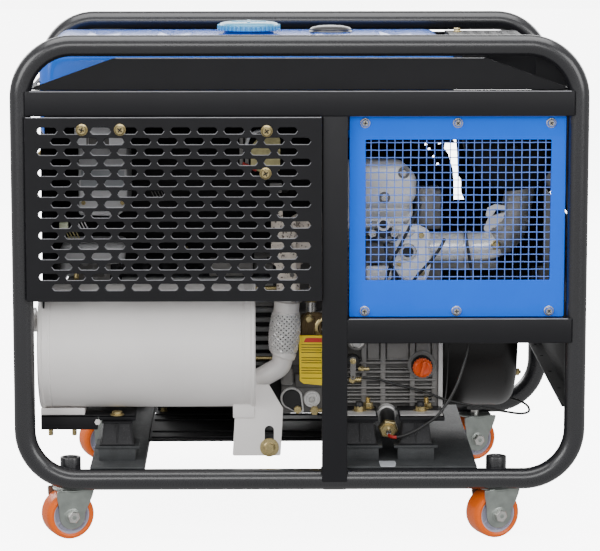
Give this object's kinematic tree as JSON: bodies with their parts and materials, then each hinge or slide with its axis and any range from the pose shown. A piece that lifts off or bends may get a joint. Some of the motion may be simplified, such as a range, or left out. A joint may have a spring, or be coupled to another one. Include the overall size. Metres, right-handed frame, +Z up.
{
  "type": "engine driven welder",
  "caption": "Open tube-frame engine driven welder on swivel casters, with air cooled twin diesel, alternator, muffler, tank, guards and a weld control panel.",
  "frame": {"origin": "on the floor under the middle of the frame", "axes": "+X along the length towards the fan end, +Y from the service side towards the control panel side, +Z up"},
  "size_m": [0.9224, 0.674, 0.8212],
  "materials": {
    "frame_black": "satin black powder coat",
    "panel_blue": "bright blue semi-gloss paint",
    "cap_blue": "translucent blue plastic",
    "muffler_silver": "warm silver heat-proof paint",
    "steel_braid": "woven stainless braid",
    "exhaust_iron": "heat-tinted cast iron",
    "engine_casting": "grey as-cast aluminium",
    "rotor_steel": "varnished laminations",
    "rocker_silver": "bead-blasted aluminium",
    "pipe_aluminium": "bright drawn aluminium",
    "black_plastic": "matt black plastic",
    "pump_bronze": "brown-gold casting",
    "brass_hex": "yellow zinc and brass",
    "zinc_steel": "clear zinc plate",
    "orange_tyre": "orange polyurethane",
    "orange_plastic": "orange moulded plastic",
    "black_rubber": "black rubber"
  },
  "bodies": {
    "chassis": {"near_frame_loop": "frame_black", "far_frame_loop": "frame_black", "near_side_rails": "frame_black", "far_side_rails": "frame_black", "left_crossmember": "frame_black", "right_crossmember": "frame_black", "engine_bed": "frame_black", "near_left_rubber_mount": "black_rubber", "far_left_rubber_mount": "black_rubber", "near_middle_rubber_mount": "black_rubber", "far_middle_rubber_mount": "black_rubber", "near_right_rubber_mount": "black_rubber", "far_right_rubber_mount": "black_rubber", "tank_tray": "frame_black", "fuel_tank": "panel_blue", "air_hood": "frame_black", "perforated_guard": "frame_black", "mesh_guard_frame": "panel_blue", "guard_wire_mesh": "panel_blue", "right_end_panel": "frame_black", "muffler": "muffler_silver", "exhaust_flex_pipe": "steel_braid", "exhaust_manifold": "exhaust_iron", "muffler_support_arm": "frame_black", "muffler_bracket": "muffler_silver", "crankcase": "engine_casting", "near_cylinder": "engine_casting", "near_rocker_cover": "rocker_silver", "far_cylinder": "engine_casting", "far_rocker_cover": "rocker_silver", "blower_housing": "frame_black", "alternator_housing": "engine_casting", "alternator_end_bell": "engine_casting", "intake_pipe": "pipe_aluminium", "air_cleaner": "black_plastic", "injection_pump": "pump_bronze", "starter_motor": "black_plastic", "oil_pressure_sender": "brass_hex", "sensor_lead": "black_rubber", "stop_cable": "black_rubber", "control_box": "frame_black", "control_panel": "panel_blue", "rectifier_unit": "pipe_aluminium", "battery": "black_plastic"},
    "crank_train": {"flywheel_fan": "engine_casting", "alternator_rotor": "rotor_steel"},
    "fuel_cap": {"fuel_cap": "cap_blue"},
    "oil_filler_cap": {"oil_filler_cap": "orange_plastic"},
    "stop_lever": {"stop_lever": "zinc_steel"},
    "current_knob": {"current_knob": "black_plastic"},
    "ignition_key": {"ignition_key": "zinc_steel"},
    "breaker_toggle": {"breaker_toggle": "black_plastic"},
    "near_left_swivel": {"near_left_caster_fork": "zinc_steel"},
    "near_left_wheel": {"near_left_caster_wheel": "orange_tyre"},
    "near_right_swivel": {"near_right_caster_fork": "zinc_steel"},
    "near_right_wheel": {"near_right_caster_wheel": "orange_tyre"},
    "far_left_swivel": {"far_left_caster_fork": "zinc_steel"},
    "far_left_wheel": {"far_left_caster_wheel": "orange_tyre"},
    "far_right_swivel": {"far_right_caster_fork": "zinc_steel"},
    "far_right_wheel": {"far_right_caster_wheel": "orange_tyre"}
  },
  "joints": [
    {"name": "near_left_swivel_turn", "type": "hinge", "parent": "chassis", "child": "near_left_swivel", "pos_m": [-0.374, -0.283, 0.1], "axis": [0, 0, 1], "continuous": true},
    {"name": "near_left_wheel_roll", "type": "hinge", "parent": "near_left_swivel", "child": "near_left_wheel", "pos_m": [-0.37956, -0.28525, 0.03966], "axis": [-0.3746, 0.9272, 0], "continuous": true},
    {"name": "near_right_swivel_turn", "type": "hinge", "parent": "chassis", "child": "near_right_swivel", "pos_m": [0.321, -0.283, 0.1], "axis": [0, 0, 1], "continuous": true},
    {"name": "near_right_wheel_roll", "type": "hinge", "parent": "near_right_swivel", "child": "near_right_wheel", "pos_m": [0.31544, -0.28525, 0.03966], "axis": [-0.3746, 0.9272, 0], "continuous": true},
    {"name": "far_left_swivel_turn", "type": "hinge", "parent": "chassis", "child": "far_left_swivel", "pos_m": [-0.35, 0.3009, 0.1], "axis": [0, 0, 1], "continuous": true},
    {"name": "far_left_wheel_roll", "type": "hinge", "parent": "far_left_swivel", "child": "far_left_wheel", "pos_m": [-0.35556, 0.29865, 0.03966], "axis": [-0.3746, 0.9272, 0], "continuous": true},
    {"name": "far_right_swivel_turn", "type": "hinge", "parent": "chassis", "child": "far_right_swivel", "pos_m": [0.33, 0.3009, 0.1], "axis": [0, 0, 1], "continuous": true},
    {"name": "far_right_wheel_roll", "type": "hinge", "parent": "far_right_swivel", "child": "far_right_wheel", "pos_m": [0.32444, 0.29865, 0.03966], "axis": [-0.3746, 0.9272, 0], "continuous": true},
    {"name": "crank_turn", "type": "hinge", "parent": "chassis", "child": "crank_train", "pos_m": [0, 0.012, 0.32], "axis": [1, 0, 0], "continuous": true},
    {"name": "fuel_cap_turn", "type": "hinge", "parent": "chassis", "child": "fuel_cap", "pos_m": [-0.083, 0.1, 0.805], "axis": [0, 0, -1], "range_deg": [0, 90]},
    {"name": "oil_filler_cap_turn", "type": "hinge", "parent": "chassis", "child": "oil_filler_cap", "pos_m": [0.205, -0.19, 0.262], "axis": [0, -1, 0], "range_deg": [0, 180]},
    {"name": "stop_lever_swing", "type": "hinge", "parent": "chassis", "child": "stop_lever", "pos_m": [0.09, -0.178, 0.272], "axis": [0, -1, 0], "range_deg": [0, 35]},
    {"name": "current_knob_turn", "type": "hinge", "parent": "chassis", "child": "current_knob", "pos_m": [-0.11, 0.32, 0.52], "axis": [0, -1, 0], "range_deg": [0, 270]},
    {"name": "ignition_key_turn", "type": "hinge", "parent": "chassis", "child": "ignition_key", "pos_m": [-0.37, 0.32, 0.47], "axis": [0, -1, 0], "range_deg": [0, 90]},
    {"name": "breaker_toggle_flip", "type": "hinge", "parent": "chassis", "child": "breaker_toggle", "pos_m": [-0.29, 0.309, 0.47], "axis": [1, 0, 0], "range_deg": [-18, 18]}
  ]
}
